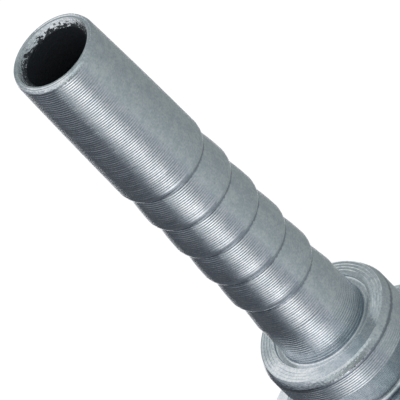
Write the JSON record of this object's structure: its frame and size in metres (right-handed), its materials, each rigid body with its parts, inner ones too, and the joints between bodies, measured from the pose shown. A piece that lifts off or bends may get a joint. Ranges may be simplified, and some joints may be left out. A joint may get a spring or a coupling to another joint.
{
  "type": "hose barb tail",
  "caption": "Turned steel hose tail with a barbed shank, a ferrule collar and groove, a spanner hexagon and a taper pipe thread.",
  "frame": {"origin": "centre of the flat end face of the threaded connector", "axes": "+Z along the bore from the connector to the tip of the tail; +X is square to one flat of the hexagon"},
  "size_m": [0.014, 0.0162, 0.0576],
  "materials": {
    "plated_steel": "bright zinc plated, fine turning marks"
  },
  "bodies": {
    "root": {"hose_tail": "plated_steel"}
  },
  "joints": []
}
